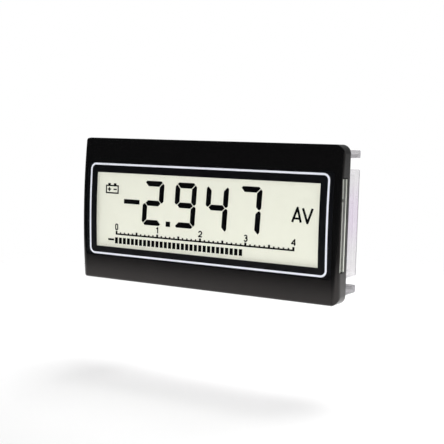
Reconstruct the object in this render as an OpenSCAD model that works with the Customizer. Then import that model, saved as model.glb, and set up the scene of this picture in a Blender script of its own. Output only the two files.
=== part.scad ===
// Digital panel meter: a snap-in LCD meter with a DIN 72 x 36 mm bezel, four big digits
// and a bargraph scale. It clips into a 68 x 33 mm cut-out in a panel.
//
// Seen from the front, +X is to the right and +Z is up. The front faces -Y.
// The origin is the middle of the bezel's rear face, which seats on the panel.
// Dimensions are in millimetres.

/* [Bezel] */
// Width of the bezel
bezel_w = 72; // [72:0.5:76]
// Height of the bezel
bezel_h = 36; // [36:0.5:40]
// Depth of the bezel in front of the panel
bezel_d = 5.3; // [5:0.1:5.6]
// Radius of the bezel's four corners, seen from the front
corner_r = 2; // [1:0.1:3]
// How far the gently rolled front curves back by its top and bottom edges
front_fall = 1; // [0.5:0.05:1.3]
// Rounding where the front meets the top and bottom faces
rim_edge_r = 0.6; // [0.3:0.1:0.9]
// Rounding of the two upright front edges
end_edge_r = 1.7; // [0.6:0.1:1.7]

/* [Window and print] */
// Width of the clear window plate
window_w = 68.8; // [67.5:0.1:69]
// Height of the clear window plate
window_h = 24; // [23.6:0.1:24]
// Thickness of the clear window plate
window_t = 0.2; // [0.15:0.05:0.25]
// Width of the opening in the black print
view_w = 62.2; // [58:0.1:63]
// Height of the opening in the black print
view_h = 18.9; // [16:0.05:18.9]
// How far the opening sits below the middle
view_drop = 0.15; // [0:0.05:0.2]
// Outer width of the white border line
line_w = 66.65; // [65:0.1:67]
// Outer height of the white border line
line_h = 23.3; // [22:0.05:23.4]
// Thickness of the white border line's stroke
line_stroke = 0.48; // [0.3:0.05:0.8]
// Outer corner radius of the white border line
line_r = 1.6; // [1:0.1:3]

/* [Display] */
// Number shown by the four digits
reading = [2, 9, 4, 7]; // [0:1:9]
// Height of a digit
digit_h = 11.05; // [8:0.05:11.5]
// Width of a digit
digit_w = 6.1; // [5:0.05:6.4]
// Stroke of a digit's segments
digit_stroke = 1.35; // [0.8:0.05:1.5]
// Lean of the digits, as sideways shift per unit of height
digit_lean = 0.055; // [0:0.005:0.12]
// Distance from one digit to the next
digit_pitch = 8.9; // [8:0.05:9]
// Extra room for the decimal point after the first digit
point_room = 0.55; // [0:0.05:1]
// Number of divisions on the bargraph's scale
scale_steps = 40; // [20:10:40]
// Distance from one division to the next
scale_pitch = 1.25; // [1.1:0.01:1.25]
// Number of bars that are dark
dark_bars = 30; // [1:1:41]

/* [Clear housing] */
// Outer width of the skirt behind the panel
skirt_w = 67.6; // [66.5:0.1:67.8]
// Outer height of the skirt
skirt_h = 25.1; // [24:0.1:25.4]
// How far the skirt sits below the middle
skirt_drop = 0.3; // [0:0.1:0.4]
// Length of the skirt behind the panel
skirt_l = 11; // [10.5:0.1:14]
// Thickness of the skirt's walls
skirt_t = 1.2; // [1:0.1:1.5]
// Width of a snap finger
finger_w = 7; // [6:0.5:10]
// Distance from the middle to a snap finger's outer face, where it passes the panel
finger_z = 16.4; // [16:0.05:16.4]
// Thickest panel that the barbs leave room for
panel_t = 2.3; // [2.1:0.1:3]

/* [Circuit board] */
// Width of the board
board_w = 65.6; // [62:0.2:65.8]
// Height of the board
board_h = 31.8; // [30:0.2:32]
// Thickness of the board
board_t = 1; // [0.8:0.1:1]
// Number of pins in the header
header_pins_n = 10; // [4:1:10]
// Radius of the calibration trimmer's rotor
rotor_r = 1.5; // [1.2:0.1:2]

/* [Hidden] */
$fn = 48;

// Depths of the layers, from the front backwards
front_y = -bezel_d;
print_t = 0.05;
polariser_t = 0.15;
glass_t = 0.4;
cell_t = 0.05;
reflector_t = 0.2;
flange_t = 1.2;
board_rear_y = -flange_t;
board_front_y = board_rear_y - board_t;

// Bezel, inside
fit_gap = 0.05;
pocket_r = 0.8;
display_open_w = 66.6;
display_open_h = 22.8;
hollow_w = 68.6;
hollow_h = 33;
hollow_front_y = -2.4;
tongue_pocket_y = -3.8;
slot_rear_y = -1.3;
slot_half_h = 10.6;
peg_x = 30;
peg_z = 14;
peg_r = 0.9;
peg_end_y = board_rear_y - 0.1;

// The front is rolled about an axis behind the meter; its rim is rounded off all along
front_r = (pow(bezel_h / 2, 2) + pow(front_fall, 2)) / (2 * front_fall);
roll_y = front_y + front_r;
rim_z = bezel_h / 2 - rim_edge_r;
rim_reach = front_r - rim_edge_r;
rim_y = roll_y - sqrt(rim_reach * rim_reach - rim_z * rim_z);
rim_touch_z = rim_z * front_r / rim_reach;
end_overlap = 0.02;

// Display glass
glass_w = 65.2;
front_glass_h = 22.6;
rear_glass_h = 20.2;
polariser_w = 64.4;
polariser_h = 21.6;
seal_width = 0.45;
zebra_w = 62;
zebra_depth = 1;
zebra_z = (rear_glass_h / 2 + front_glass_h / 2) / 2;

// The flat display starts just behind the rolled print, at the polariser's edges
print_back_r = front_r - window_t - print_t;
polariser_y = roll_y - sqrt(pow(print_back_r, 2) - pow(polariser_h / 2, 2)) + 0.02;
front_glass_y = polariser_y + polariser_t;
cell_y = front_glass_y + glass_t;
rear_glass_y = cell_y + cell_t;
reflector_y = rear_glass_y + glass_t;

// Artwork of the display: x and z of each element's own middle or corner
digits_x = -14.35;
digits_z = 2.2;
segment_gap = 0.2;
segment_corner = 0.8;
point_size = 1.28;
point_x = -9.8;
point_z = -2.7;
minus_size = [4.8, 1.15];
minus_at = [-20.85, 2.2];
scale_x = -25.4;
scale_z = -6.45;
scale_line_t = 0.38;
tick_w = 0.4;
tick_minor = 0.68;
tick_major = 0.98;
tick_major_w = 0.52;
bar_w = 0.88;
bar_h = 1.56;
bars_z = -7.9;
bar_minus_size = [1.85, 0.48];
bar_minus_at = [-27.1, -7.75];
numeral_z = -4.45;
numeral_h = 1.4;
numeral_stroke = 0.3;
battery_at = [-27, 5.05];
battery_size = [4.05, 2.2];
battery_stroke = 0.34;
terminal_size = [0.75, 0.45];
terminal_x = 0.9;
sign_size = 1;
unit_stroke = 0.54;
unit_foot_z = 0.2;
unit_top_z = 3.5;
ampere_x = 24.05;
volt_x = 26.65;

// Segments lit for each numeral, named a to g in the usual order
SEGMENTS = [
  "abcdef", "bc", "abdeg", "abcdg", "bcfg",
  "acdfg", "acdefg", "abc", "abcdefg", "abcdfg"
];

// Clear housing
flange_w = 68.3;
flange_h = 32.6;
skirt_r = 0.3;
skirt_x = skirt_w / 2;
finger_t = 1.4;
finger_grip = 0.35;
finger_ramp_y = 4.2;
finger_thin = 0.9;
finger_root_l = 8.6;
finger_end_l = 0.9;
barb_w = 3.6;
barb_h = 1.2;
barb_l = 3.2;
tongue_x = 33.1;
tongue_t = 1;
tongue_half_h = 10.4;
tongue_front_y = -3.75;
rib_inset = 0.06;
rib_t = 0.6;
rib_front_y = -3.7;
rib_rear_y = -1.95;
rib_notch_z = 5.7;
rib_notch_w = 0.6;

// Parts on the rear of the board: places are [x, z] of their middles
controller_at = [6, 2.6];
controller_size = 10;
controller_h = 1.7;
controller_lift = 0.15;
lead_n = 11;
lead_pitch = 0.8;
lead_w = 0.35;
lead_t = 0.15;
lead_reach = 1.6;
crystal_at = [-9.5, 5.2];
crystal_l = 11;
crystal_r = 2.3;
crystal_h = 3.4;
crystal_base_t = 0.4;
capacitor_at = [-15.5, -4.6];
capacitor_r = 2.5;
capacitor_h = 4.9;
capacitor_base = 5.3;
capacitor_base_t = 0.6;
reference_at = [-5.5, -3.6];
reference_size = [2.9, 1.3, 0.95];
trimmer_at = [-25, 3.4];
trimmer_size = 6.6;
trimmer_h = 4.2;
rotor_gap = 0.05;
rotor_depth = 1.8;
rotor_rise = 0.35;
rotor_slot_w = 0.6;
rotor_slot_d = 0.7;
header_at = [13, -8];
header_pitch = 2.54;
header_h = 2.54;
pin_w = 0.64;
pin_top_y = 7.2;
pin_tail_y = board_front_y - 0.6;
pin_hole_r = 0.5;
chip_l = 1.6;
chip_w = 0.8;
chip_t = 0.5;
chip_cap_t = 0.8;
chip_end = 0.3;
resistors_at = [[18, 6], [18, 4], [18, 2], [18, 0], [-2.5, -6.6], [-6, -6.6]];
capacitors_at = [[22, 6], [22, 3], [22, 0], [-10, -2.6]];

// ---------- Shared shapes ----------

// Extrudes an outline drawn as seen from the front between two depths
module along_y(y0, y1) {
  translate([0, y1, 0])
    rotate([90, 0, 0])
      linear_extrude(y1 - y0)
        children();
}

// Extrudes a section drawn as [y, z] between two widths
module along_x(x0, x1) {
  translate([x0, 0, 0])
    rotate([90, 0, 90])
      linear_extrude(x1 - x0)
        children();
}

module rounded_rect(w, h, r) {
  square([w - 2 * r, h], center = true);
  square([w, h - 2 * r], center = true);
  for (x = [-1, 1], z = [-1, 1])
    translate([x * (w / 2 - r), z * (h / 2 - r)])
      circle(r);
}

module rect_ring(w, h, r, stroke) {
  difference() {
    rounded_rect(w, h, r);
    rounded_rect(w - 2 * stroke, h - 2 * stroke, r - stroke);
  }
}

// Straight stroke with square ends from point a to point b
module stroke_line(a, b, w) {
  d = b - a;
  translate(a)
    rotate(atan2(d.y, d.x))
      translate([0, -w / 2])
        square([norm(d), w]);
}

// Strokes through a row of points, with round joints
module stroke_path(points, w) {
  for (i = [0:len(points) - 2])
    stroke_line(points[i], points[i + 1], w);
  for (i = [1:len(points) - 2])
    translate(points[i])
      circle(w / 2, $fn = 16);
}

// Points along an arc, from angle a0 to angle a1
function arc_points(c, r, a0, a1, n) =
  [for (i = [0:n]) c + r * [cos(a0 + (a1 - a0) * i / n), sin(a0 + (a1 - a0) * i / n)]];

// A layer of the display's artwork, between the two glasses
module artwork() {
  along_y(cell_y, rear_glass_y)
    children();
}

// ---------- Bezel ----------

// Section across the bezel: the rolled front, rounded off at its top and bottom
module roll_section() {
  intersection() {
    translate([roll_y, 0])
      circle(front_r, $fn = 720);
    translate([front_y, -rim_touch_z])
      square([bezel_d, 2 * rim_touch_z]);
  }
  for (side = [-1, 1])
    translate([rim_y, side * rim_z])
      circle(rim_edge_r);
  translate([rim_y, -bezel_h / 2])
    square([-rim_y, bezel_h]);
}

// Everything behind a surface that follows the front at some depth
module front_roll(depth) {
  translate([-bezel_w / 2 - 1, roll_y, 0])
    rotate([0, 90, 0])
      cylinder(h = bezel_w + 2, r = front_r - depth, $fn = 720);
}

// Drum whose rim rounds the upright edges as it follows the roll of the front,
// drawn smaller all round by an inset
module end_drum(inset = 0) {
  reach = front_r + end_overlap - end_edge_r - inset;
  half_w = bezel_w / 2 - inset;
  translate([0, roll_y, 0])
    rotate([0, 90, 0])
      rotate_extrude($fn = 720) {
        translate([0, -half_w])
          square([reach, 2 * half_w]);
        translate([0, -half_w + end_edge_r])
          square([front_r + 2, 2 * (half_w - end_edge_r)]);
        for (x = [-1, 1])
          translate([reach, x * (half_w - end_edge_r)])
            circle(end_edge_r);
      }
}

module bezel_block() {
  intersection() {
    along_y(front_y, 0)
      rounded_rect(bezel_w, bezel_h, corner_r);
    along_x(-bezel_w / 2, bezel_w / 2)
      roll_section();
    end_drum();
  }
}

module bezel() {
  color("#161518")
    difference() {
      bezel_block();
      difference() {
        along_y(front_y - 1, front_y + 2)
          rounded_rect(window_w + 2 * fit_gap, window_h + 2 * fit_gap, pocket_r);
        front_roll(window_t + print_t);
      }
      along_y(front_y - 1, 1)
        square([display_open_w, display_open_h], center = true);
      difference() {
        along_y(hollow_front_y, 1)
          rounded_rect(hollow_w, hollow_h, pocket_r);
        for (x = [-1, 1], z = [-1, 1])
          translate([x * peg_x, peg_end_y, z * peg_z])
            rotate([90, 0, 0])
              cylinder(h = bezel_d, r = peg_r);
      }
      along_y(tongue_pocket_y, 1)
        square([hollow_w, 2 * slot_half_h], center = true);
      along_y(tongue_pocket_y, slot_rear_y)
        square([bezel_w + 1, 2 * slot_half_h], center = true);
    }
}

// ---------- Window and print ----------

// A sheet that follows the rolled front, between two depths, cut to an outline
module rolled_sheet(depth_0, depth_1) {
  difference() {
    intersection() {
      along_y(front_y - 1, front_y + 2)
        children();
      front_roll(depth_0);
    }
    front_roll(depth_1);
  }
}

module front_window() {
  color("#dfe6e8", 0.25)
    rolled_sheet(0, window_t)
      rounded_rect(window_w, window_h, pocket_r - fit_gap);
}

// Black print behind the window, open over the display and under the white line
module window_mask() {
  color("#0b0c12")
    rolled_sheet(window_t, window_t + print_t)
      difference() {
        rounded_rect(window_w, window_h, pocket_r - fit_gap);
        rect_ring(line_w, line_h, line_r, line_stroke);
        translate([0, -view_drop])
          square([view_w, view_h], center = true);
      }
}

module border_line() {
  color("#dfe2ea")
    rolled_sheet(window_t, window_t + print_t)
      rect_ring(line_w, line_h, line_r, line_stroke);
}

// ---------- Display glass ----------

module lcd_front_polariser() {
  color("#c9ccc0", 0.3)
    along_y(polariser_y, front_glass_y)
      square([polariser_w, polariser_h], center = true);
}

module lcd_front_glass() {
  color("#d8e4e0", 0.3)
    along_y(front_glass_y, cell_y)
      square([glass_w, front_glass_h], center = true);
}

module lcd_cell_seal() {
  color("#8a8a80")
    along_y(cell_y, rear_glass_y)
      difference() {
        square([glass_w, rear_glass_h], center = true);
        square([glass_w - 2 * seal_width, rear_glass_h - 2 * seal_width], center = true);
      }
}

module lcd_rear_glass() {
  color("#e7e8da")
    along_y(rear_glass_y, reflector_y)
      square([glass_w, rear_glass_h], center = true);
}

module lcd_reflector() {
  color("#c8c9be")
    along_y(reflector_y, reflector_y + reflector_t)
      square([polariser_w, rear_glass_h - 1], center = true);
}

// ---------- Digits ----------

// Leans a row of points over, as the digits do
function lean(points) = [for (p = points) [p.x + digit_lean * p.y, p.y]];

// Flips a row of points left to right, or top to bottom
function flip(points, sx, sz) = [for (p = points) [sx * p.x, sz * p.y]];

half_w = digit_w / 2;
half_h = digit_h / 2;
mitre = segment_gap / sqrt(2);

// Top bar: mitred at both ends, with its outer corners cut back
bar_a = [
  [-half_w + mitre + segment_corner, half_h],
  [half_w - mitre - segment_corner, half_h],
  [half_w - mitre - segment_corner / 2, half_h - segment_corner / 2],
  [half_w - mitre - digit_stroke, half_h - digit_stroke],
  [-half_w + mitre + digit_stroke, half_h - digit_stroke],
  [-half_w + mitre + segment_corner / 2, half_h - segment_corner / 2]
];

// Upper right bar: mitred at the top, pointed at the bottom
bar_b = [
  [half_w, half_h - mitre - segment_corner],
  [half_w, mitre + segment_corner / 2],
  [half_w - digit_stroke / 4, mitre],
  [half_w - digit_stroke / 2, mitre],
  [half_w - digit_stroke, mitre + digit_stroke / 2],
  [half_w - digit_stroke, half_h - mitre - digit_stroke],
  [half_w - segment_corner / 2, half_h - mitre - segment_corner / 2]
];

// Middle bar: a point at each end
bar_g = [
  [-half_w + digit_stroke / 2 + mitre, 0],
  [-half_w + digit_stroke + mitre, digit_stroke / 2],
  [half_w - digit_stroke - mitre, digit_stroke / 2],
  [half_w - digit_stroke / 2 - mitre, 0],
  [half_w - digit_stroke - mitre, -digit_stroke / 2],
  [-half_w + digit_stroke + mitre, -digit_stroke / 2]
];

// Outline of one segment, by its letter's place in "abcdefg"
SHAPES = [
  bar_a, bar_b, flip(bar_b, 1, -1), flip(bar_a, 1, -1),
  flip(bar_b, -1, -1), flip(bar_b, -1, 1), bar_g
];

// Lower right bar of a numeral with no bottom bar: it runs on down to the digit's foot
bar_c_foot = [
  for (p = flip(bar_b, 1, -1))
    p.y < -half_h / 2 ? p - [0, mitre + segment_corner / 2] : p
];

function lit(letter, value) = len(search(letter, SEGMENTS[value])) > 0;

module digit(value) {
  for (i = [0:6])
    if (lit("abcdefg"[i], value))
      polygon(lean(i == 2 && !lit("d", value) ? bar_c_foot : SHAPES[i]));
}

module centred_bar(at, size) {
  translate(at)
    square(size, center = true);
}

module lcd_digits() {
  color("#0d0e12")
    artwork() {
      for (i = [0:len(reading) - 1])
        translate([digits_x + i * digit_pitch + min(i, 1) * point_room, digits_z])
          digit(reading[i]);
      centred_bar([point_x, point_z], [point_size, point_size]);
      centred_bar(minus_at, minus_size);
    }
}

// ---------- Bargraph and scale ----------

module lcd_bargraph() {
  color("#0d0e12")
    artwork() {
      for (i = [0:dark_bars - 1])
        centred_bar([scale_x + i * scale_pitch, bars_z], [bar_w, bar_h]);
      centred_bar(bar_minus_at, bar_minus_size);
    }
}

// Numerals of the scale, thin strokes in a box one unit high
NUMERALS = [
  concat(arc_points([0, 0.27], 0.23, 0, 180, 8), arc_points([0, -0.27], 0.23, 180, 360, 8), [[0.23, 0.27]]),
  [[-0.2, 0.28], [0.08, 0.5], [0.08, -0.5]],
  concat(arc_points([0, 0.2], 0.3, 170, -40, 8), [[-0.33, -0.42], [0.36, -0.42]]),
  concat(arc_points([0, 0.24], 0.26, 150, -80, 8), arc_points([0, -0.2], 0.3, 80, -150, 8)),
  [[0.36, -0.2], [-0.36, -0.2], [0.18, 0.48], [0.18, -0.5]]
];

function tick_size(i) = i % 5 == 0 ? [tick_major_w, tick_major] : [tick_w, tick_minor];

module lcd_scale() {
  color("#55564f")
    artwork() {
      translate([scale_x, scale_z])
        square([scale_steps * scale_pitch, scale_line_t]);
      for (i = [0:scale_steps])
        translate([scale_x + i * scale_pitch - tick_size(i).x / 2, scale_z])
          square(tick_size(i));
      for (i = [0:scale_steps / 10])
        translate([scale_x + i * 10 * scale_pitch, numeral_z])
          stroke_path(numeral_h * NUMERALS[i], numeral_stroke);
    }
}

// ---------- Symbols ----------

module battery_symbol() {
  translate(battery_at) {
    difference() {
      square(battery_size, center = true);
      square(battery_size - 2 * [battery_stroke, battery_stroke], center = true);
    }
    for (x = [-1, 1])
      centred_bar([x * terminal_x, (battery_size.y + terminal_size.y) / 2], terminal_size);
    for (x = [-1, 1])
      centred_bar([x * terminal_x, 0], [sign_size, battery_stroke]);
    centred_bar([-terminal_x, 0], [battery_stroke, sign_size]);
  }
}

// Unit signs for amperes and volts
module unit_signs() {
  rise = unit_top_z - unit_foot_z;
  translate([ampere_x, unit_foot_z]) {
    stroke_path([[0, 0], [1.25, rise], [2.15, 0]], unit_stroke);
    stroke_line([0.4, 0.26 * rise], [1.9, 0.26 * rise], unit_stroke * 0.85);
  }
  translate([volt_x, unit_foot_z])
    stroke_path([[0, rise], [1.2, 0], [2.4, rise]], unit_stroke);
}

module lcd_symbols() {
  color("#1b1c20")
    artwork() {
      battery_symbol();
      unit_signs();
    }
}

// ---------- Elastomer connectors ----------

module zebra_strip(z) {
  translate([-zebra_w / 2, cell_y, z - zebra_depth / 2])
    cube([zebra_w, board_front_y - cell_y, zebra_depth]);
}

module zebra_strip_top() {
  color("#3d3b40")
    zebra_strip(zebra_z);
}

module zebra_strip_bottom() {
  color("#3d3b40")
    zebra_strip(-zebra_z);
}

// ---------- Clear housing ----------

// Section of a snap finger: a neck that passes the panel, then a thicker arm with a
// thin place that lets its end be pinched
module finger_section() {
  inner_z = finger_z - finger_t;
  outer_z = finger_z + finger_grip;
  thin_z = outer_z - finger_thin;
  grip_y = skirt_l - finger_end_l;
  polygon([
    [-flange_t, finger_z], [finger_ramp_y, finger_z], [finger_ramp_y + 1, outer_z],
    [skirt_l - 0.3, outer_z], [skirt_l, outer_z - 0.3], [skirt_l, inner_z],
    [grip_y, inner_z], [grip_y, thin_z], [finger_root_l, thin_z], [finger_root_l, inner_z],
    [-flange_t, inner_z]
  ]);
}

// Section of the barb that holds the meter against the back of the panel
module barb_section() {
  polygon([
    [panel_t, finger_z - 0.2], [panel_t, finger_z + barb_h - 0.3], [panel_t + 0.4, finger_z + barb_h],
    [panel_t + barb_l, finger_z], [panel_t + barb_l, finger_z - 0.2]
  ]);
}

module snap_finger() {
  along_x(skirt_x - finger_w, skirt_x)
    finger_section();
  along_x(skirt_x - finger_w / 2 - barb_w / 2, skirt_x - finger_w / 2 + barb_w / 2)
    barb_section();
}

// Tongue that snaps into the slot in the bezel's end, with two ribs that show there
module end_tongue() {
  translate([tongue_x, tongue_front_y, -tongue_half_h])
    cube([tongue_t, -flange_t / 2 - tongue_front_y, 2 * tongue_half_h]);
  difference() {
    intersection() {
      for (y = [rib_front_y, rib_rear_y])
        translate([tongue_x, y, -tongue_half_h])
          cube([bezel_w / 2, rib_t, 2 * tongue_half_h]);
      end_drum(rib_inset);
    }
    translate([tongue_x + tongue_t, rib_front_y - 1, rib_notch_z - rib_notch_w / 2])
      cube([bezel_w / 2, rib_t + 1.2, rib_notch_w]);
  }
}

module clear_housing() {
  color("#e4e0ea", 0.45) {
    difference() {
      union() {
        along_y(-flange_t, 0)
          rounded_rect(flange_w, flange_h, pocket_r);
        along_y(-flange_t, skirt_l)
          translate([0, -skirt_drop])
            rounded_rect(skirt_w, skirt_h, skirt_r);
        for (x = [0, 1], z = [0, 1])
          mirror([x, 0, 0])
            mirror([0, 0, z])
              snap_finger();
        for (x = [0, 1])
          mirror([x, 0, 0])
            end_tongue();
      }
      along_y(-flange_t - 1, skirt_l + 1)
        translate([0, -skirt_drop])
          rounded_rect(skirt_w - 2 * skirt_t, skirt_h - 2 * skirt_t, skirt_r / 2);
    }
  }
}

// ---------- Circuit board ----------

module pin_places() {
  for (i = [0:header_pins_n - 1])
    translate([header_at.x + (i - (header_pins_n - 1) / 2) * header_pitch, 0, header_at.y])
      children();
}

module circuit_board() {
  color("#2f6b3f")
    difference() {
      along_y(board_front_y, board_rear_y)
        rounded_rect(board_w, board_h, pocket_r);
      for (x = [-1, 1], z = [-1, 1])
        translate([x * peg_x, 0, z * peg_z])
          rotate([90, 0, 0])
            cylinder(h = bezel_d, r = peg_r + 0.15);
      pin_places()
        rotate([90, 0, 0])
          cylinder(h = bezel_d, r = pin_hole_r);
    }
}

// Puts a part on the rear of the board, with its own +Z pointing away from the board
module on_board(at) {
  translate([at.x, board_rear_y, at.y])
    rotate([-90, 0, 0])
      children();
}

module controller_chip() {
  half = controller_size / 2;
  bevel = 0.25;
  color("#232427")
    on_board(controller_at)
      difference() {
        translate([0, 0, controller_lift])
          linear_extrude(controller_h)
            polygon([
              [-half, -half + bevel], [-half + bevel, -half], [half - bevel, -half], [half, -half + bevel],
              [half, half - bevel], [half - bevel, half], [-half + bevel, half], [-half, half - bevel]
            ]);
        translate([-half + 1.4, half - 1.4, controller_lift + controller_h - 0.1])
          cylinder(h = 1, r = 0.5);
      }
}

// Section of a gull-wing lead, from the chip's side down to the board
module lead_section() {
  mid = controller_lift + controller_h / 2;
  polygon([
    [0, mid + lead_t], [0.55, mid + lead_t], [0.8, lead_t], [lead_reach, lead_t],
    [lead_reach, 0], [0.68, 0], [0.43, mid], [0, mid]
  ]);
}

module controller_leads() {
  color("#c8cacc")
    on_board(controller_at)
      for (side = [0:3], i = [0:lead_n - 1])
        rotate([0, 0, side * 90])
          translate([controller_size / 2, (i - (lead_n - 1) / 2) * lead_pitch + lead_w / 2, 0])
            rotate([90, 0, 0])
              linear_extrude(lead_w)
                lead_section();
}

module stadium(l, r) {
  square([l - 2 * r, 2 * r], center = true);
  for (x = [-1, 1])
    translate([x * (l / 2 - r), 0])
      circle(r);
}

module crystal_can() {
  color("#c9cbd0")
    on_board(crystal_at) {
      translate([0, 0, crystal_base_t])
        linear_extrude(0.4)
          stadium(crystal_l, crystal_r);
      translate([0, 0, crystal_base_t])
        linear_extrude(crystal_h)
          stadium(crystal_l - 0.8, crystal_r - 0.4);
    }
}

module crystal_base() {
  color("#26262a")
    on_board(crystal_at)
      translate([-crystal_l / 2 - 0.4, -crystal_r - 0.1, 0])
        cube([crystal_l + 0.8, 2 * crystal_r + 0.2, crystal_base_t]);
}

// Rolled can with a groove above its rubber seal
module filter_capacitor_can() {
  groove_z = capacitor_base_t + 1.1;
  color("#c4c7cb")
    on_board(capacitor_at)
      rotate_extrude()
        polygon([
          [0, capacitor_base_t], [capacitor_r - 0.1, capacitor_base_t], [capacitor_r, capacitor_base_t + 0.1],
          [capacitor_r, groove_z - 0.3], [capacitor_r - 0.25, groove_z], [capacitor_r, groove_z + 0.3],
          [capacitor_r, capacitor_base_t + capacitor_h - 0.2],
          [capacitor_r - 0.2, capacitor_base_t + capacitor_h], [0, capacitor_base_t + capacitor_h]
        ]);
}

module filter_capacitor_base() {
  half = capacitor_base / 2;
  color("#202124")
    on_board(capacitor_at)
      linear_extrude(capacitor_base_t)
        polygon([
          [-half, -half], [half - 1, -half], [half, -half + 1],
          [half, half - 1], [half - 1, half], [-half, half]
        ]);
}

module reference_chip() {
  color("#232427")
    on_board(reference_at)
      translate([0, 0, 0.1 + reference_size.z / 2])
        cube(reference_size, center = true);
}

module reference_leads() {
  color("#c8cacc")
    on_board(reference_at)
      for (lead = [[-0.95, -1], [0.95, -1], [0, 1]])
        translate([lead.x - 0.2, lead.y > 0 ? reference_size.y / 2 : -reference_size.y / 2 - 0.55, 0])
          cube([0.4, 0.55, 0.3]);
}

module chip_block(at, h) {
  on_board(at)
    translate([-chip_l / 2 + chip_end, -chip_w / 2, 0])
      cube([chip_l - 2 * chip_end, chip_w, h]);
}

module chip_ends(at, h) {
  on_board(at)
    for (x = [-chip_l / 2, chip_l / 2 - chip_end])
      translate([x, -chip_w / 2, 0])
        cube([chip_end, chip_w, h]);
}

module chip_resistors() {
  color("#2a2b2e")
    for (at = resistors_at)
      chip_block(at, chip_t);
}

module chip_capacitors() {
  color("#b59a74")
    for (at = capacitors_at)
      chip_block(at, chip_cap_t);
}

module chip_part_ends() {
  color("#d0d2d4") {
    for (at = resistors_at)
      chip_ends(at, chip_t);
    for (at = capacitors_at)
      chip_ends(at, chip_cap_t);
  }
}

// ---------- Calibration trimmer ----------

module trimmer_body() {
  half = trimmer_size / 2;
  color("#2b5fa8")
    on_board(trimmer_at)
      difference() {
        linear_extrude(trimmer_h)
          polygon([
            [-half, -half], [half, -half], [half, half - 1], [half - 1, half], [-half, half]
          ]);
        translate([0, 0, trimmer_h - rotor_depth])
          cylinder(h = rotor_depth + 1, r = rotor_r + rotor_gap);
      }
}

// Rotor with a screwdriver slot and a pointer cut on one side
module trimmer_rotor() {
  top_z = trimmer_h + rotor_rise;
  color("#e9e6dc")
    on_board(trimmer_at)
      difference() {
        translate([0, 0, trimmer_h - rotor_depth + rotor_gap])
          cylinder(h = rotor_depth - rotor_gap + rotor_rise, r = rotor_r);
        translate([-rotor_r, -rotor_slot_w / 2, top_z - rotor_slot_d])
          cube([2 * rotor_r, rotor_slot_w, rotor_slot_d + 1]);
        translate([rotor_r * 0.55, -rotor_r, top_z - rotor_slot_d / 2])
          cube([rotor_r, 2 * rotor_r, rotor_slot_d]);
      }
}

// ---------- Pin header ----------

module header_body() {
  bevel = 0.35;
  half = header_pitch / 2;
  color("#1c1d20")
    difference() {
      pin_places()
        translate([0, board_rear_y + header_h, 0])
          rotate([90, 0, 0])
            linear_extrude(header_h)
              polygon([
                [-half, -half + bevel], [-half + bevel, -half], [half - bevel, -half], [half, -half + bevel],
                [half, half - bevel], [half - bevel, half], [-half + bevel, half], [-half, half - bevel]
              ]);
      pin_places()
        translate([-pin_w / 2, board_rear_y - 1, -pin_w / 2])
          cube([pin_w, header_h + 2, pin_w]);
    }
}

module header_pins() {
  color("#cfb25a")
    pin_places()
      translate([-pin_w / 2, pin_tail_y, -pin_w / 2])
        cube([pin_w, pin_top_y - pin_tail_y, pin_w]);
}

bezel();
front_window();
window_mask();
border_line();
lcd_front_polariser();
lcd_front_glass();
lcd_cell_seal();
lcd_digits();
lcd_bargraph();
lcd_scale();
lcd_symbols();
lcd_rear_glass();
lcd_reflector();
zebra_strip_top();
zebra_strip_bottom();
clear_housing();
circuit_board();
controller_chip();
controller_leads();
crystal_can();
crystal_base();
filter_capacitor_can();
filter_capacitor_base();
reference_chip();
reference_leads();
chip_resistors();
chip_capacitors();
chip_part_ends();
trimmer_body();
trimmer_rotor();
header_body();
header_pins();
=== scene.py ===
import math

import bpy
from mathutils import Euler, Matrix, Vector


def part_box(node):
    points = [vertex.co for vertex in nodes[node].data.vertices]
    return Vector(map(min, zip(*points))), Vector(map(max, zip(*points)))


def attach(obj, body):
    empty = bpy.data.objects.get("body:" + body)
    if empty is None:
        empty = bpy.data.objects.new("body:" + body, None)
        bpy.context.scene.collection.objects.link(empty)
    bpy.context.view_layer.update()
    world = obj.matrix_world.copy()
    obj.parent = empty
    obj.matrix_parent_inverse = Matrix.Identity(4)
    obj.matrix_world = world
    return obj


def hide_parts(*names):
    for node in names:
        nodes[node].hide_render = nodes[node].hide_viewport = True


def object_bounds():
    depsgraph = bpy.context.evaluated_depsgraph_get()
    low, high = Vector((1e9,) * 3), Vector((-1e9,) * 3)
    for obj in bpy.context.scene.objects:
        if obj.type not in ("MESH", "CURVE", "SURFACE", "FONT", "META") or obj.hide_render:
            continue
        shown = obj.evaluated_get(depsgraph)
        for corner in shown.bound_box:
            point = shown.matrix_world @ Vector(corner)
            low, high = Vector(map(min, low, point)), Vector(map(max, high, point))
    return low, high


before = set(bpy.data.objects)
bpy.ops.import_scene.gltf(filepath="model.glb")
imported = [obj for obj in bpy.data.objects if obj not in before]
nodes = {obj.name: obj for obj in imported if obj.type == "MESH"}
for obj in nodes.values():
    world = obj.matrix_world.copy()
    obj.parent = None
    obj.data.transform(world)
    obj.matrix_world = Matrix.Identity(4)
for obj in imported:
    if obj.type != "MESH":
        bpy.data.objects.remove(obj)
cad_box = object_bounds()

# ---- Bezel -------------------------------------------------------------------------------
# Black ABS moulding that covers the panel cut-out. Its front is rolled gently about the long
# axis, and a lightly textured tool gives it a satin surface.

MM = 0.001


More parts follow.
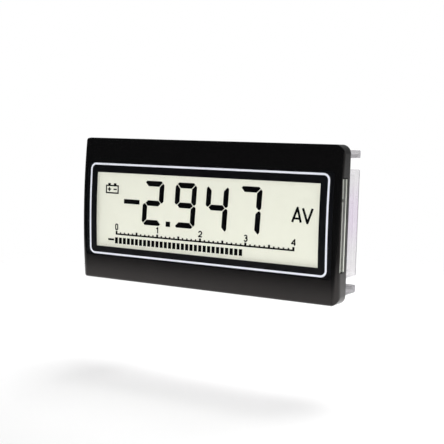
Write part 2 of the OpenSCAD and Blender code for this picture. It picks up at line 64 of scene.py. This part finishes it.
class Wire:
    """One shader socket. Arithmetic on it adds Math nodes to its material."""

    def __init__(self, finish, socket):
        self.finish = finish
        self.socket = socket

    def math(self, operation, *others):
        values = {place: value for place, value in enumerate((self, *others))}
        return self.finish.node("Math", {"operation": operation}, values)

    def __add__(self, other):
        return self.math("ADD", other)

    def __sub__(self, other):
        return self.math("SUBTRACT", other)

    def __mul__(self, other):
        return self.math("MULTIPLY", other)

    def __rsub__(self, other):
        return self * -1 + other

    __radd__ = __add__
    __rmul__ = __mul__

    def above(self, edge, softness):
        """0 below the edge and 1 above it, with a soft step between."""
        settings = {"interpolation_type": "SMOOTHSTEP"}
        sockets = {0: self, 1: edge - softness, 2: edge + softness, 3: 0.0, 4: 1.0}
        return self.finish.node("MapRange", settings, sockets)


class Finish:
    """A material with one Principled shader and the nodes that vary it over a surface."""

    def __init__(self, name, sockets):
        self.material = bpy.data.materials.new(name)
        self.material.use_nodes = True
        self.tree = self.material.node_tree
        self.shader = self.tree.nodes["Principled BSDF"]
        self.surface = self.tree.nodes["Material Output"].inputs["Surface"]
        for socket, value in sockets.items():
            self.set(socket, value)

    def plug(self, socket, value):
        if isinstance(value, Wire):
            self.tree.links.new(value.socket, socket)
        else:
            socket.default_value = value

    def set(self, socket, value):
        self.plug(self.shader.inputs[socket], value)

    def node(self, kind, settings, sockets, output=0):
        """A node of any kind: its settings are set first, then its sockets are filled."""
        node = self.tree.nodes.new("ShaderNode" + kind)
        for name, value in settings.items():
            setattr(node, name, value)
        for place, value in sockets.items():
            self.plug(node.inputs[place], value)
        return Wire(self, node.outputs[output])

    def place(self, axis=None):
        """The point on the piece, in metres, or one of its coordinates."""
        point = self.node("TexCoord", {}, {}, "Object")
        if axis is None:
            return point
        return self.node("SeparateXYZ", {}, {0: point}, axis)

    def grain(self, size, detail=2.0, stretch=(1, 1, 1)):
        """Soft noise from 0 to 1, with grains of about that size in metres."""
        point = self.node("Mapping", {}, {"Vector": self.place(), "Scale": stretch})
        sockets = {"Vector": point, "Scale": 1 / size, "Detail": detail, "Roughness": 0.5}
        return self.node("TexNoise", {}, sockets, 0)

    def blend(self, mask, under, over):
        """One colour over another where the mask is 1."""
        sockets = {0: mask, 6: under, 7: over}
        return self.node("Mix", {"data_type": "RGBA"}, sockets, 2)

    def bump(self, height, distance, strength=1.0):
        sockets = {"Height": height, "Distance": distance, "Strength": strength}
        self.set("Normal", self.node("Bump", {}, sockets))


def dress(node, finish):
    """Gives a CAD node its material."""
    mesh = nodes[node].data
    mesh.materials.clear()
    mesh.materials.append(finish.material)


def moulded_plastic(name, color, roughness, texture, depth, specular=0.5):
    """Plastic from a textured tool: fine bumps, and a sheen that varies a little."""
    finish = Finish(name, {"Specular IOR Level": specular})
    patches = finish.grain(6 * MM)
    paler = tuple(min(1, part * 1.25 + 0.0006) for part in color[:3]) + (1,)
    finish.set("Base Color", finish.blend(patches * 0.5, color, paler))
    finish.set("Roughness", roughness + (patches - 0.5) * 0.06)
    finish.bump(finish.grain(texture), depth)
    return finish


bezel_tone = (0.0022, 0.0020, 0.0021, 1)
bezel_black = moulded_plastic("bezel_black", bezel_tone, 0.16, 0.12 * MM, 0.001 * MM, 0.6)
bezel_black.set("Specular Tint", (1.0, 0.93, 0.90, 1))
dress("bezel", bezel_black)

# ---- Window and its print ----------------------------------------------------------------
# Thin clear sheet bonded in the bezel's front pocket. Its back is printed black around the
# display, with a white border line let into the black. The ink is far thinner than its solid,
# so it casts no shadow on the display.


def clear_sheet(name, roughness, share):
    """Clear polished sheet: it shows what is behind it under a gloss that grows at the edge."""
    finish = Finish(name, {"Base Color": (1, 1, 1, 1), "Metallic": 1.0, "Roughness": roughness})
    gloss = finish.node("Fresnel", {}, {"IOR": 1.49})
    finish.set("Alpha", gloss * share)
    return finish


window_sheet = clear_sheet("window_sheet", 0.10, 0.12)
black_tone = (0.0026, 0.0027, 0.0036, 1)
black_ink = moulded_plastic("black_ink", black_tone, 0.5, 0.08 * MM, 0.001 * MM, 0.2)
white_ink = moulded_plastic("white_ink", (0.72, 0.74, 0.81, 1), 0.5, 0.08 * MM, 0.001 * MM)
dress("front_window", window_sheet)
dress("window_mask", black_ink)
dress("border_line", white_ink)
nodes["window_mask"].visible_shadow = False

# ---- Display -----------------------------------------------------------------------------
# Liquid crystal cell: two glasses with a seal, a polariser in front and a satin reflector
# behind. The cell's field is a pale warm grey, and what is switched on is nearly black.

polariser_film = clear_sheet("polariser_film", 0.25, 0.03)
cell_glass = clear_sheet("cell_glass", 0.08, 0.03)
field = Finish("display_field", {"Roughness": 0.55, "Specular IOR Level": 0.2})
field_tone = (0.800, 0.807, 0.700, 1)
field_shade = (0.765, 0.775, 0.668, 1)
field.set("Base Color", field.blend(field.grain(9 * MM) * 0.35, field_tone, field_shade))
field.bump(field.grain(0.2 * MM), 0.001 * MM)
segment_tone = (0.0012, 0.0012, 0.0014, 1)
segment = moulded_plastic("display_segment", segment_tone, 0.5, 0.1 * MM, 0.0005 * MM, 0.05)
seal = moulded_plastic("cell_seal", (0.22, 0.22, 0.19, 1), 0.5, 0.1 * MM, 0.002 * MM)
reflector = moulded_plastic("reflector_film", (0.58, 0.60, 0.55, 1), 0.35, 0.1 * MM, 0.001 * MM)
dress("lcd_front_polariser", polariser_film)
dress("lcd_front_glass", cell_glass)
dress("lcd_rear_glass", field)
dress("lcd_cell_seal", seal)
dress("lcd_reflector", reflector)
for group in ("lcd_digits", "lcd_bargraph", "lcd_scale", "lcd_symbols"):
    dress(group, segment)

# ---- Elastomer connectors ----------------------------------------------------------------
# Strips of silicone rubber with hundreds of thin conducting layers, squeezed between the
# front glass and the board.

layer_pitch = 0.18 * MM
zebra = Finish("zebra_rubber", {"Roughness": 0.7})
layers = (zebra.place("X") * (2 * math.pi / layer_pitch)).math("SINE").above(0.0, 0.3)
zebra.set("Base Color", zebra.blend(layers, (0.30, 0.28, 0.30, 1), (0.02, 0.02, 0.022, 1)))
zebra.bump(layers, 0.004 * MM)
dress("zebra_strip_top", zebra)
dress("zebra_strip_bottom", zebra)

# ---- Clear housing -----------------------------------------------------------------------
# Clear polycarbonate moulding that closes the back: a skirt, four snap fingers, and two end
# tongues whose ribs fill the slots in the bezel's ends. It looks slightly milky and lilac.
# Light and shade are painted into its end ribs, its two fingers and the rear edge of its ends.

housing = Finish("clear_polycarbonate", {"Roughness": 0.16})
along = housing.place("X").math("ABSOLUTE")
depth = housing.place("Y")
height = housing.place("Z")
flow = housing.grain(5 * MM, 1.0, (1, 1, 0.3))

# Where the ribs, the fingers and the skirt's end corners are, each with a soft edge
rib_part = along.above(34.6 * MM, 0.3 * MM)
rear_rib_end = depth.above(-1.88 * MM, 0.1 * MM)
painted_shade_between_ribs = depth.above(-3.05 * MM, 0.1 * MM) * (1 - rear_rib_end)
finger_part = height.math("ABSOLUTE").above(13.6 * MM, 0.3 * MM) * depth.above(0.3 * MM, 0.2 * MM)
rear_edge_painted_shade = depth.above(10.6 * MM, 0.15 * MM) * along.above(33.65 * MM, 0.1 * MM)
middle = height.above(-4 * MM, 5 * MM) * (1 - height.above(7 * MM, 4 * MM))

# The milky share of the surface, whose tone holds painted light and shade as well as the lilac milk
# The two fingers are one material: the lower one is painted darker and the upper one lighter, painted
# shade and light
painted_shade_lower_finger, painted_light_upper_finger = (0.27, 0.265, 0.28, 1), (0.48, 0.47, 0.48, 1)
finger_painted_light_and_shade = housing.blend(height.above(0, 1 * MM), painted_shade_lower_finger, painted_light_upper_finger)
milk_and_painted_light_tone = housing.blend(finger_part, (0.66, 0.635, 0.68, 1), finger_painted_light_and_shade)
# Painted shade: a grey line along the rear edge at the ends, which also gets a larger milky share
# below
milk_and_painted_light_tone = housing.blend(rear_edge_painted_shade, milk_and_painted_light_tone, (0.30, 0.29, 0.32, 1))
# A painted highlight on the end ribs, pale green-white, and painted shade between them
rib_painted_highlight_and_shade = housing.blend(painted_shade_between_ribs, (0.80, 0.83, 0.74, 1), (0.26, 0.27, 0.25, 1))
milk_and_painted_light_tone = housing.blend(rib_part, milk_and_painted_light_tone, rib_painted_highlight_and_shade)
housing.set("Base Color", milk_and_painted_light_tone)
housing.bump(housing.grain(1.5 * MM, 1.0), 0.01 * MM, 0.6)

# The see-through share: lilac about the middle, neutral above and below, greyer in the fingers
neutral = housing.node("BsdfTransparent", {}, {"Color": (0.930, 0.922, 0.925, 1)})
lilac = housing.node("BsdfTransparent", {}, {"Color": (0.912, 0.862, 0.930, 1)})
greyed = housing.node("BsdfTransparent", {}, {"Color": (0.875, 0.865, 0.875, 1)})
see_through = housing.node("MixShader", {}, {0: middle, 1: neutral, 2: lilac})
see_through = housing.node("MixShader", {}, {0: finger_part, 1: see_through, 2: greyed})

rim = housing.node("LayerWeight", {}, {"Blend": 0.35}, "Facing")
# The end ribs take a larger milky share to carry their painted highlight, weaker higher up on the
# rear rib, and more between the ribs where shade is painted
upper_rib_less_painted_light = height.above(3 * MM, 7 * MM)
rib_painted_light_share = 0.20 + painted_shade_between_ribs * 0.12 + rear_rib_end * (0.57 - upper_rib_less_painted_light * 0.35)
milk = 0.06 + rim * 0.30 + flow * 0.03 + rib_part * rib_painted_light_share + finger_part * 0.3 + rear_edge_painted_shade * 0.5
milky = Wire(housing, housing.shader.outputs[0])
housing.plug(housing.surface, housing.node("MixShader", {}, {0: milk, 1: see_through, 2: milky}))
dress("clear_housing", housing)

# ---- Circuit board -----------------------------------------------------------------------
# Glass-fibre board under green solder mask, held on the bezel's four pegs by the housing. Its
# copper tracks stand up a little under the mask, and part outlines are printed in white.

board = Finish("green_board", {"Specular IOR Level": 0.5})
yarn = 2 * math.pi / (0.5 * MM)
weave = (board.place("X") * yarn).math("SINE") * (board.place("Z") * yarn).math("SINE")
mask_tone = board.grain(3 * MM) * 0.4 + weave * 0.06
board.set("Base Color", board.blend(mask_tone, (0.012, 0.115, 0.040, 1), (0.025, 0.165, 0.065, 1)))
board.set("Roughness", 0.28 + board.grain(2 * MM) * 0.1)
board.bump(weave, 0.004 * MM)
dress("circuit_board", board)
board_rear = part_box("circuit_board")[1][1]
face_rear = (-math.pi / 2, 0, 0)
copper_rise = 0.03 * MM
ink_rise = 0.045 * MM


def start():
    """Nothing is selected, so that an operator acts only on what is made next."""
    bpy.ops.object.select_all(action="DESELECT")


def pick(piece, kind, chosen):
    """Enters edit mode with the points, edges or faces selected that a test on their place takes."""
    bpy.ops.object.mode_set(mode="EDIT")
    bpy.ops.mesh.select_mode(type=kind)
    bpy.ops.mesh.select_all(action="DESELECT")
    bpy.ops.object.mode_set(mode="OBJECT")
    points = piece.data.vertices
    if kind == "VERT":
        for point in points:
            point.select = chosen(point.co)
    elif kind == "EDGE":
        for edge in piece.data.edges:
            edge.select = chosen((points[edge.vertices[0]].co + points[edge.vertices[1]].co) / 2)
    else:
        for face in piece.data.polygons:
            face.select = chosen(face.center)
    bpy.ops.object.mode_set(mode="EDIT")


def grow(x, y, z):
    """Extrudes what is selected."""
    bpy.ops.mesh.extrude_region_move(TRANSFORM_OT_translate={"value": (x, y, z)})


def settle():
    """Leaves edit mode and puts the active piece's place into its mesh."""
    if bpy.context.object.mode == "EDIT":
        bpy.ops.object.mode_set(mode="OBJECT")
    bpy.ops.object.transform_apply(location=True, rotation=True, scale=True)


def gather(pieces):
    """Joins pieces into the first of them."""
    start()
    for piece in pieces:
        piece.select_set(True)
    bpy.context.view_layer.objects.active = pieces[0]
    bpy.ops.object.join()
    return bpy.context.object


def copies(pattern, places, turn=0.0):
    """The pattern at its first place and copies of it at the others, turned about Y, as one piece."""
    made = [pattern]
    for _ in places[1:]:
        start()
        pattern.select_set(True)
        bpy.context.view_layer.objects.active = pattern
        bpy.ops.object.duplicate(linked=False)
        made.append(bpy.context.object)
    for piece, (x, z) in zip(made, places):
        piece.location = (x, 0, z)
        piece.rotation_euler = (0, turn, 0)
    piece = gather(made)
    settle()
    return piece


def complete(piece, name, finish, body="meter"):
    """Ends a piece's modelling: clean mesh, smooth faces, name, finish and the body it rides on."""
    settle()
    bpy.ops.object.mode_set(mode="EDIT")
    bpy.ops.mesh.select_all(action="SELECT")
    bpy.ops.mesh.remove_doubles(threshold=0.0005 * MM)
    bpy.ops.mesh.normals_make_consistent(inside=False)
    bpy.ops.object.mode_set(mode="OBJECT")
    bpy.ops.object.shade_smooth_by_angle(angle=math.radians(35))
    piece.name = name
    piece.data.materials.clear()
    piece.data.materials.append(finish.material)
    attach(piece, body)


def flat_patch(x, z, width, height):
    """Rectangle lying on the rear of the board, facing backwards."""
    start()
    bpy.ops.mesh.primitive_plane_add(size=1, location=(x, board_rear, z), rotation=face_rear)
    patch = bpy.context.object
    patch.scale = (width, height, 1)
    settle()
    return patch


def track(x, z, steps, width=0.3 * MM):
    """Copper track: a strip drawn out from its first point along steps, in millimetres."""
    x, z = x * MM, z * MM
    strip = flat_patch(x, z, width, width)
    first_x, first_z = steps[0]
    if first_z == 0:
        pick(strip, "EDGE", lambda place: (place.x - x) * first_x > 0.4 * width * abs(first_x))
    else:
        pick(strip, "EDGE", lambda place: (place.z - z) * first_z > 0.4 * width * abs(first_z))
    for step_x, step_z in steps:
        grow(step_x * MM, 0, step_z * MM)
    bpy.ops.mesh.select_all(action="SELECT")
    grow(0, copper_rise, 0)
    settle()
    return strip


tracks = [
    track(2.0, -4.2, [(0, -0.8), (-0.43, -0.43), (0, -1.6)]),
    track(3.6, -4.2, [(0, -0.8), (0.51, -0.51), (0, -1.5)]),
    track(5.2, -4.2, [(0, -0.6), (1.45, -1.45), (0, -0.8)]),
    track(6.8, -4.2, [(0, -0.3), (2.39, -2.39), (0, -0.2)]),
    track(12.9, 6.6, [(0.8, 0), (0.6, -0.6), (2.8, 0)]),
    track(12.9, 5.0, [(0.8, 0), (1.0, -1.0), (2.4, 0)]),
    track(12.9, 2.6, [(0.8, 0), (0.6, -0.6), (2.8, 0)]),
    track(12.9, 1.0, [(0.8, 0), (1.0, -1.0), (2.4, 0)]),
    track(12.9, -0.6, [(0.6, 0), (1.8, -1.8), (1.5, 0)]),
    track(12.9, -1.4, [(0.4, 0), (2.2, -2.2), (0.6, 0)]),
    track(18.9, 6.0, [(2.2, 0)]),
    track(18.9, 4.0, [(0.5, 0), (1.0, -1.0), (0.5, 0)]),
    track(18.9, 2.0, [(0.5, 0), (1.0, 1.0), (0.5, 0)]),
    track(18.9, 0.0, [(2.2, 0)]),
    track(22.9, 6.0, [(1.3, 0)]),
    track(22.9, 3.0, [(1.3, 0)]),
    track(22.9, 0.0, [(1.3, 0)]),
    track(24.6, 8.4, [(0, -15.3)], 0.5 * MM),
    track(-1.0, 5.0, [(-2.2, 0)]),
    track(-1.0, 1.0, [(-3.0, 0), (-1.6, -1.6), (-1.0, 0)]),
    track(-1.0, 0.2, [(-2.0, 0), (-2.3, -2.3), (-0.2, 0)]),
    track(-1.0, 3.4, [(-0.8, 0), (-1.6, -1.6), (-9.0, 0), (-1.0, 1.0), (-7.0, 0)]),
    track(4.4, 9.4, [(0, 1.0), (-1.4, 1.4), (0, 0.8)]),
    track(6.8, 9.4, [(0, 1.6), (1.2, 1.2), (0, 0.4)]),
    track(-12.4, -4.6, [(2.2, 0), (1.6, 1.6), (1.8, 0)]),
    track(-22.8, -0.6, [(0, -0.8), (2.7, -2.7)], 0.5 * MM),
    track(-18.9, -4.6, [(-2.4, 0), (-2.0, -2.0), (-3.0, 0)], 0.5 * MM),
    track(-25.0, 7.2, [(0, 1.2), (1.6, 1.6), (0, 0.8)]),
    track(-15.8, 5.2, [(-2.2, 0), (-1.0, 1.0), (-0.6, 0)]),
]
masked_copper = moulded_plastic("masked_copper", (0.022, 0.19, 0.075, 1), 0.3, 0.3 * MM, 0.002 * MM)
complete(gather(tracks), "board_tracks", masked_copper)


def plated_metal(name, color, roughness, streak, tone=0.82):
    """Drawn or plated metal, with fine streaks along one way that darken to a tone."""
    finish = Finish(name, {"Metallic": 1.0})
    lines = finish.grain(0.15 * MM, 2.0, streak)
    darker = tuple(part * tone for part in color[:3]) + (1,)
    finish.set("Base Color", finish.blend(lines, color, darker))
    finish.set("Roughness", roughness + lines * 0.15)
    finish.bump(lines, 0.002 * MM)
    return finish


def disc(x, y, z, radius, sides):
    """Flat disc facing backwards, sizes in metres, with its face selected in edit mode."""
    start()
    bpy.ops.mesh.primitive_circle_add(
        vertices=sides, radius=radius, location=(x, y, z), rotation=face_rear, fill_type="NGON"
    )
    made = bpy.context.object
    settle()
    pick(made, "FACE", lambda place: True)
    return made


# Plated holes that join the tracks to the other side: a tinned ring with a dip in its middle
ring_rise, ring_dip = 0.05 * MM, 0.045 * MM
ring = disc(0, board_rear, 0, 0.42 * MM, 20)
grow(0, ring_rise, 0)
bpy.ops.mesh.inset(thickness=0.17 * MM)
grow(0, -ring_dip, 0)
settle()
via_places = [(17.0, -2.4), (16.3, -3.6), (-6.7, -0.6), (-5.6, -2.1), (-21.2, 2.8), (3.0, 12.7)]
via_places += [(8.0, 12.7), (-26.4, -6.6), (-23.4, 10.9), (-19.7, 6.2), (24.6, 8.6), (-12.0, -9.6)]
via_places += [(-20.0, -10.8), (27.5, -3.0), (-8.0, 11.4), (15.0, 10.4)]
rings = copies(ring, [(x * MM, z * MM) for x, z in via_places])
solder = plated_metal("solder", (0.74, 0.74, 0.75, 1), 0.16, (1, 1, 1))
complete(rings, "board_vias", solder)


def printed_outline(x, z, width, height, stroke=0.16 * MM):
    """White outline printed around a part, sizes in millimetres."""
    outline = flat_patch(x * MM, z * MM, width * MM, height * MM)
    pick(outline, "FACE", lambda place: True)
    bpy.ops.mesh.inset(thickness=stroke)
    bpy.ops.mesh.delete(type="FACE")
    bpy.ops.mesh.select_all(action="SELECT")
    grow(0, ink_rise, 0)
    settle()
    return outline


def printed_bar(x, z, width, height):
    """Short white bar printed on the board, its ends drawn in a little."""
    bar = flat_patch(x * MM, z * MM, width * MM, height * MM)
    pick(bar, "FACE", lambda place: True)
    grow(0, ink_rise, 0)
    bpy.ops.transform.resize(value=(0.97, 1, 0.9))
    settle()
    return bar


chip_places = [(18, 6), (18, 4), (18, 2), (18, 0), (-2.5, -6.6), (-6, -6.6)]
chip_places += [(22, 6), (22, 3), (22, 0), (-10, -2.6)]
outlines = [
    printed_outline(6, 2.6, 14.9, 14.9),
    printed_outline(-9.5, 5.2, 14.2, 5.6),
    printed_outline(-25, 3.4, 7.3, 7.3),
    printed_outline(13, -8, 26.2, 3.3),
    printed_outline(-5.5, -3.6, 3.5, 3.2),
    printed_bar(-19.9, -1.7, 1.2, 0.2),
    printed_bar(-19.9, -1.7, 0.2, 1.2),
    printed_bar(0.2, -10.2, 0.9, 0.3),
]
chip_outline = printed_outline(0, 0, 3.0, 1.5, 0.13 * MM)
outlines.append(copies(chip_outline, [(x * MM, z * MM) for x, z in chip_places]))
board_print = moulded_plastic("board_print", (0.78, 0.79, 0.76, 1), 0.6, 0.1 * MM, 0.003 * MM)
complete(gather(outlines), "board_outlines", board_print)

# ---- Chips, crystal, capacitor and reference ---------------------------------------------
# Small parts soldered to the back of the board. Packages are black epoxy, cans are drawn metal,
# and leads and chip ends are tinned.

package = moulded_plastic("package_black", (0.016, 0.016, 0.018, 1), 0.6, 0.06 * MM, 0.004 * MM)
tin = plated_metal("tin_plate", (0.70, 0.70, 0.70, 1), 0.28, (1, 1, 1))
can = plated_metal("can_metal", (0.72, 0.72, 0.73, 1), 0.22, (1, 0.08, 1))
ceramic = moulded_plastic("ceramic_tan", (0.42, 0.30, 0.17, 1), 0.55, 0.1 * MM, 0.003 * MM)
for group in ("controller_chip", "reference_chip", "chip_resistors"):
    dress(group, package)
for group in ("controller_leads", "reference_leads", "chip_part_ends"):
    dress(group, tin)
dress("crystal_base", package)
dress("filter_capacitor_base", package)
dress("crystal_can", can)
dress("filter_capacitor_can", can)
dress("chip_capacitors", ceramic)


def solder_land(width, length, rise):
    """Tinned land with solder on it: thin at the rim, full in the middle. Sizes in millimetres."""
    narrow, rim_rise = min(width, length) * MM, 0.035 * MM
    land = flat_patch(0, 0, width * MM, length * MM)
    pick(land, "FACE", lambda place: True)
    grow(0, rim_rise, 0)
    bpy.ops.mesh.inset(thickness=0.16 * narrow)
    bpy.ops.transform.translate(value=(0, rise * 0.7 * MM, 0))
    bpy.ops.mesh.inset(thickness=0.14 * narrow)
    bpy.ops.transform.translate(value=(0, rise * 0.3 * MM, 0))
    settle()
    return land


def lands_at(pattern, places, turn=0.0):
    """Copies of a land at places in millimetres."""
    return copies(pattern, [(x * MM, z * MM) for x, z in places], turn)


# The controller's four rows of lands, a row at a time, then the lands of the other parts
controller_x, controller_z = 6, 2.6
leads_a_side, lead_pitch, land_reach = 11, 0.8, 6.45
lands = []
for side in range(4):
    turn = side * math.pi / 2
    row = []
    for number in range(leads_a_side):
        across = (number - (leads_a_side - 1) / 2) * lead_pitch
        x = controller_x + math.cos(turn) * land_reach - math.sin(turn) * across
        z = controller_z + math.sin(turn) * land_reach + math.cos(turn) * across
        row.append((x, z))
    lands.append(lands_at(solder_land(0.46, 1.5, 0.09), row, math.pi / 2 - turn))
chip_ends = [(x + way * 0.85, z) for x, z in chip_places for way in (-1, 1)]
lands.append(lands_at(solder_land(0.8, 1.0, 0.22), chip_ends))
lands.append(lands_at(solder_land(0.6, 1.0, 0.2), [(-6.45, -2.5), (-4.55, -2.5), (-5.5, -4.7)]))
lands.append(lands_at(solder_land(2.0, 1.6, 0.2), [(-15.6, 5.2), (-3.4, 5.2)]))
lands.append(lands_at(solder_land(1.8, 1.2, 0.25), [(-18.4, -4.6), (-12.6, -4.6)]))
lands.append(lands_at(solder_land(1.3, 1.3, 0.3), [(-27.3, -0.2), (-22.8, -0.2), (-25, 7.0)]))
complete(gather(lands), "solder_lands", solder)

# The capacitor's dark half marks its negative side
can_low, can_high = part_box("filter_capacitor_can")
can_x, can_z = (can_low[0] + can_high[0]) / 2, (can_low[2] + can_high[2]) / 2
can_top = can_high[1]
mark_radius, mark_edge, mark_rise = 2.2 * MM, 0.5 * MM, 0.01 * MM
half_mark = disc(can_x, can_top - mark_rise, can_z, mark_radius, 48)
cut = (can_x - mark_edge, can_top, can_z)
bpy.ops.mesh.bisect(plane_co=cut, plane_no=(1, 0, 0), clear_outer=True)
bpy.ops.mesh.select_all(action="SELECT")
grow(0, 2 * mark_rise, 0)
can_mark = moulded_plastic("can_mark", (0.018, 0.018, 0.020, 1), 0.5, 0.1 * MM, 0.002 * MM)
complete(half_mark, "capacitor_mark", can_mark)

# ---- Calibration trimmer -----------------------------------------------------------------
# Blue moulded body soldered to the board, with an off-white rotor snapped into its bore. A
# screwdriver in the rotor's slot sets the meter's full scale from behind.

trimmer_blue = moulded_plastic("trimmer_blue", (0.015, 0.085, 0.36, 1), 0.35, 0.1 * MM, 0.003 * MM)
rotor_white = moulded_plastic("rotor_white", (0.78, 0.75, 0.67, 1), 0.45, 0.1 * MM, 0.003 * MM)
dress("trimmer_body", trimmer_blue)
dress("trimmer_rotor", rotor_white)

# ---- Pin header --------------------------------------------------------------------------
# Row of ten square gold-plated pins pressed through a black moulded body. Each pin is cut to
# length and coined to a blunt point at both ends.

header_black = moulded_plastic("header_black", (0.014, 0.014, 0.015, 1), 0.45, 0.08 * MM, 0.004 * MM)
gold = plated_metal("gold_plate", (0.88, 0.64, 0.25, 1), 0.16, (1, 0.5, 1), 0.93)
dress("header_body", header_black)

pin_count, pin_pitch, point_length = 10, 2.54 * MM, 0.4 * MM
pins_low, pins_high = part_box("header_pins")
pin_width = pins_high[2] - pins_low[2]
pin_length = pins_high[1] - pins_low[1]
pin_middle_y = (pins_low[1] + pins_high[1]) / 2
start()
bpy.ops.mesh.primitive_cube_add(size=1, location=(0, pin_middle_y, 0))
pin = bpy.context.object
pin.scale = (pin_width, pin_length - 2 * point_length, pin_width)
settle()
for way in (-1, 1):
    pick(pin, "FACE", lambda place: (place.y - pin_middle_y) * way > 0.4 * pin_length)
    grow(0, way * point_length, 0)
    bpy.ops.transform.resize(value=(0.5, 1, 0.5))
bpy.ops.mesh.select_all(action="SELECT")
bpy.ops.mesh.bevel(offset=0.04 * MM, segments=1)
settle()
first_x, row_z = pins_low[0] + pin_width / 2, (pins_low[2] + pins_high[2]) / 2
pin_row = copies(pin, [(first_x + number * pin_pitch, row_z) for number in range(pin_count)])
complete(pin_row, "pointed_header_pins", gold)
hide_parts("header_pins")

# ---- Floor, lamps and world --------------------------------------------------------------
# A pale matt floor stands a little below the meter, as it has no feet to stand on. It fades
# out into a white surround, under large soft lamps.

drop_to_floor = 24 * MM
floor_z = cad_box[0][2] - drop_to_floor
start()
bpy.ops.mesh.primitive_plane_add(size=1.6, location=(0, 0, floor_z))
floor = bpy.context.object
floor.name = "floor"
settle()
pale = Finish("pale_floor", {"Roughness": 0.8, "Specular IOR Level": 0.1})
pale.set("Base Color", (0.93, 0.93, 0.93, 1))
reach = pale.node("VectorMath", {"operation": "LENGTH"}, {0: pale.place()}, "Value")
ahead = pale.place("Y") * -1
fade = (reach.above(0.20, 0.08) + ahead.above(0.080, 0.018)).math("MINIMUM", 1.0)
gone = pale.node("BsdfTransparent", {}, {})
matt = Wire(pale, pale.shader.outputs[0])
pale.plug(pale.surface, pale.node("MixShader", {}, {0: fade, 1: matt, 2: gone}))
floor.data.materials.append(pale.material)


def soft_lamp(name, place, size, power):
    """Square area lamp at a place in metres, turned towards the meter, that nothing mirrors."""
    start()
    turn = (-Vector(place)).to_track_quat("-Z", "Y").to_euler()
    bpy.ops.object.light_add(type="AREA", location=place, rotation=turn)
    lamp = bpy.context.object
    lamp.name = name
    lamp.data.shape = "SQUARE"
    lamp.data.size = size
    lamp.data.energy = power
    lamp.visible_glossy = False


soft_lamp("overhead_lamp", (0.05, 0.15, 0.60), 0.4, 2.6)
soft_lamp("key_lamp", (0.24, -0.65, 0.22), 0.4, 2.5)
soft_lamp("fill_lamp", (-0.20, -0.68, 0.10), 0.4, 1.85)
soft_lamp("side_lamp", (0.65, 0.05, 0.10), 0.3, 1.6)
soft_lamp("back_lamp", (0.05, 0.60, 0.25), 0.5, 3.6)


class Surround(Finish):
    """The room around the meter, as a world made of the same kinds of node."""

    def __init__(self, name):
        self.world = bpy.data.worlds.new(name)
        self.world.use_nodes = True
        self.tree = self.world.node_tree
        self.shader = self.tree.nodes["Background"]
        self.surface = self.tree.nodes["World Output"].inputs["Surface"]


room = Surround("studio")
bpy.context.scene.world = room.world
towards = room.node("TexCoord", {}, {}, "Generated")
behind = room.node("SeparateXYZ", {}, {0: towards}, "Y").above(0.35, 0.30)
raised = room.node("SeparateXYZ", {}, {0: towards}, "Z").above(-0.04, 0.08)
mirrored_white = behind * (0.60 - raised * 0.44)
camera_ray = room.node("LightPath", {}, {}, "Is Camera Ray")
glossy_ray = room.node("LightPath", {}, {}, "Is Glossy Ray")
through_ray = room.node("LightPath", {}, {}, "Is Transmission Ray")
white_share = (camera_ray + through_ray + glossy_ray * mirrored_white).math("MINIMUM", 1.0)
dark_share = glossy_ray * (1 - white_share)
white_room = room.node("Background", {}, {"Color": (1, 1, 1, 1), "Strength": 1.0})
soft_fill = room.node("Background", {}, {"Color": (1, 1, 1, 1), "Strength": 0.16})
dark_front = room.node("Background", {}, {"Color": (0.75, 0.92, 1, 1), "Strength": 0.04})
around = room.node("MixShader", {}, {0: dark_share, 1: soft_fill, 2: dark_front})
room.plug(room.surface, room.node("MixShader", {}, {0: white_share, 1: around, 2: white_room}))

# A ray may pass this many clear surfaces, more than the housing and the window have in a row
bpy.context.scene.cycles.transparent_max_bounces = 32

# ---- Camera ------------------------------------------------------------------------------
# Stands to the front right of the meter and a little above it, with a long lens, so that the
# right end's slot and the clear housing show.

bpy.ops.object.camera_add(location=(0.116274, -0.192243, 0.018260))
camera = bpy.context.object
camera.rotation_euler = Euler([math.radians(part) for part in (84.937, -1.589, 30.604)])
camera.data.sensor_width = 36
camera.data.lens = 74.985
bpy.context.scene.camera = camera
bpy.context.scene.view_settings.view_transform = "Standard"

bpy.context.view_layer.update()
